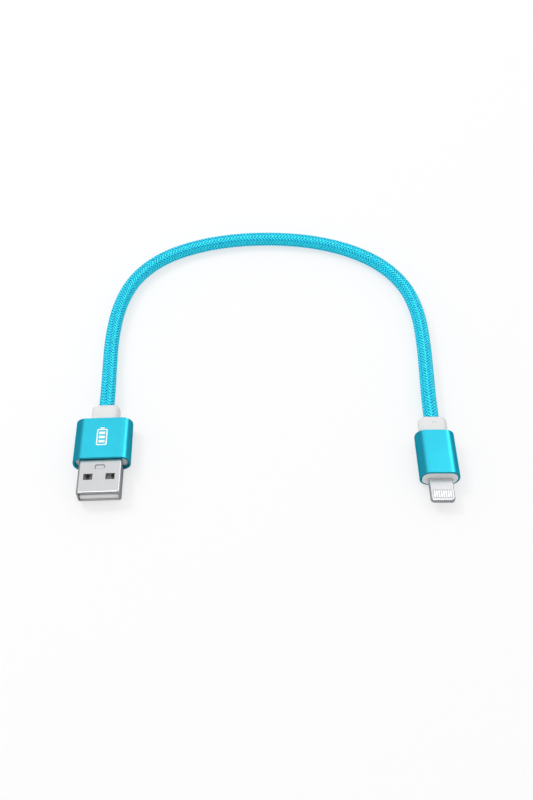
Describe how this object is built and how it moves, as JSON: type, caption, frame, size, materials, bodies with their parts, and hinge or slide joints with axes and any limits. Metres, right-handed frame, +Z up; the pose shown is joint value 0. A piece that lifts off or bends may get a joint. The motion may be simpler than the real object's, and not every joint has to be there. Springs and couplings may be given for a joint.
{
  "type": "charging cable",
  "caption": "Short charging cable lying in an arch: braided cord between a flat host plug and a slim reversible device plug, both in anodised aluminium sleeves with white mouldings.",
  "frame": {"origin": "on the surface that the cable lies on, at the middle of the box round the two plugs", "axes": "+X from the host plug to the device plug, +Y from the plugs towards the arch of the cord, +Z up; both plugs point to -Y"},
  "size_m": [0.1088, 0.1095, 0.0065],
  "materials": {
    "braid": "glossy braided polyester",
    "jacket_white": "extruded jacket",
    "foil": "laminated foil",
    "copper": "bare copper strand",
    "wire_red": "extruded insulation",
    "wire_white": "extruded insulation",
    "wire_green": "extruded insulation",
    "wire_black": "extruded insulation",
    "anodised_sleeve": "anodised, fine satin",
    "plug_steel": "nickel-plated folded steel",
    "tongue_plastic": "moulded insulator",
    "plated_contact": "nickel plated phosphor bronze",
    "solder": "reflowed solder",
    "inner_mould": "natural polyethylene",
    "screen_tin": "tin-plated sheet",
    "white_moulding": "satin thermoplastic elastomer",
    "print_white": "pad-printed ink",
    "tab_steel": "satin stainless",
    "insert_plastic": "moulded insulator",
    "bright_contact": "bright plated",
    "board_green": "solder-masked laminate",
    "chip_black": "moulded package",
    "capacitor_tan": "ceramic chip"
  },
  "bodies": {
    "root": {"cable_braid": "braid", "cable_jacket": "jacket_white", "cable_foil_screen": "foil", "cable_copper_cores": "copper", "cable_wire_power": "wire_red", "cable_wire_data_minus": "wire_white", "cable_wire_data_plus": "wire_green", "cable_wire_ground": "wire_black", "host_sleeve": "anodised_sleeve", "host_plug_shell": "plug_steel", "host_tongue": "tongue_plastic", "host_contact_power": "plated_contact", "host_contact_data_minus": "plated_contact", "host_contact_data_plus": "plated_contact", "host_contact_ground": "plated_contact", "host_solder_joints": "solder", "host_inner_mould": "inner_mould", "host_screen_upper": "screen_tin", "host_screen_lower": "screen_tin", "host_cable_crimp": "screen_tin", "host_overmould": "white_moulding", "host_printed_symbol": "print_white", "device_sleeve": "anodised_sleeve", "device_tab_frame": "tab_steel", "device_contact_insert": "insert_plastic", "device_contacts_upper": "bright_contact", "device_contacts_lower": "bright_contact", "device_circuit_board": "board_green", "device_control_chip": "chip_black", "device_capacitors": "capacitor_tan", "device_solder_joints": "solder", "device_inner_mould": "inner_mould", "device_screen_upper": "screen_tin", "device_screen_lower": "screen_tin", "device_cable_crimp": "screen_tin", "device_overmould": "white_moulding"}
  },
  "joints": []
}
